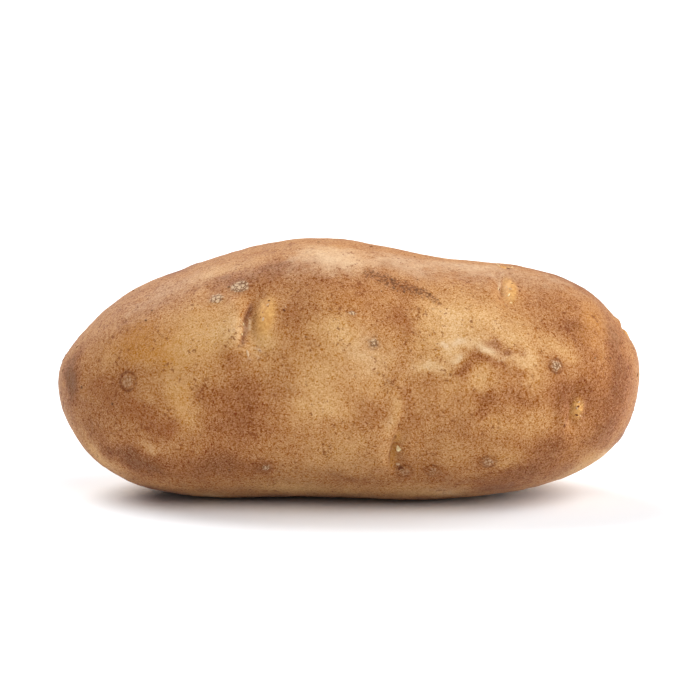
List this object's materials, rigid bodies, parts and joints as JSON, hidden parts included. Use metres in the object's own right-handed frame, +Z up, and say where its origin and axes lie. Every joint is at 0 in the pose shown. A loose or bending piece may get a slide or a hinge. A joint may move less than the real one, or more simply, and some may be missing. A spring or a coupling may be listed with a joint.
{
  "type": "potato",
  "caption": "Long oval raw potato with netted brown skin, browed eyes and corky spots, lying on the flattest part of its side.",
  "frame": {"origin": "on the surface that the potato rests on, under the middle of its bounding box", "axes": "+X runs along the potato from its stem end to its eye end, +Z is up, and -Y is the side with the large browed eye"},
  "size_m": [0.13, 0.0662, 0.0574],
  "materials": {
    "skin": "raw corky russet skin, netted and dull, with a faint waxy sheen"
  },
  "bodies": {
    "root": {"tuber": "skin"}
  },
  "joints": []
}
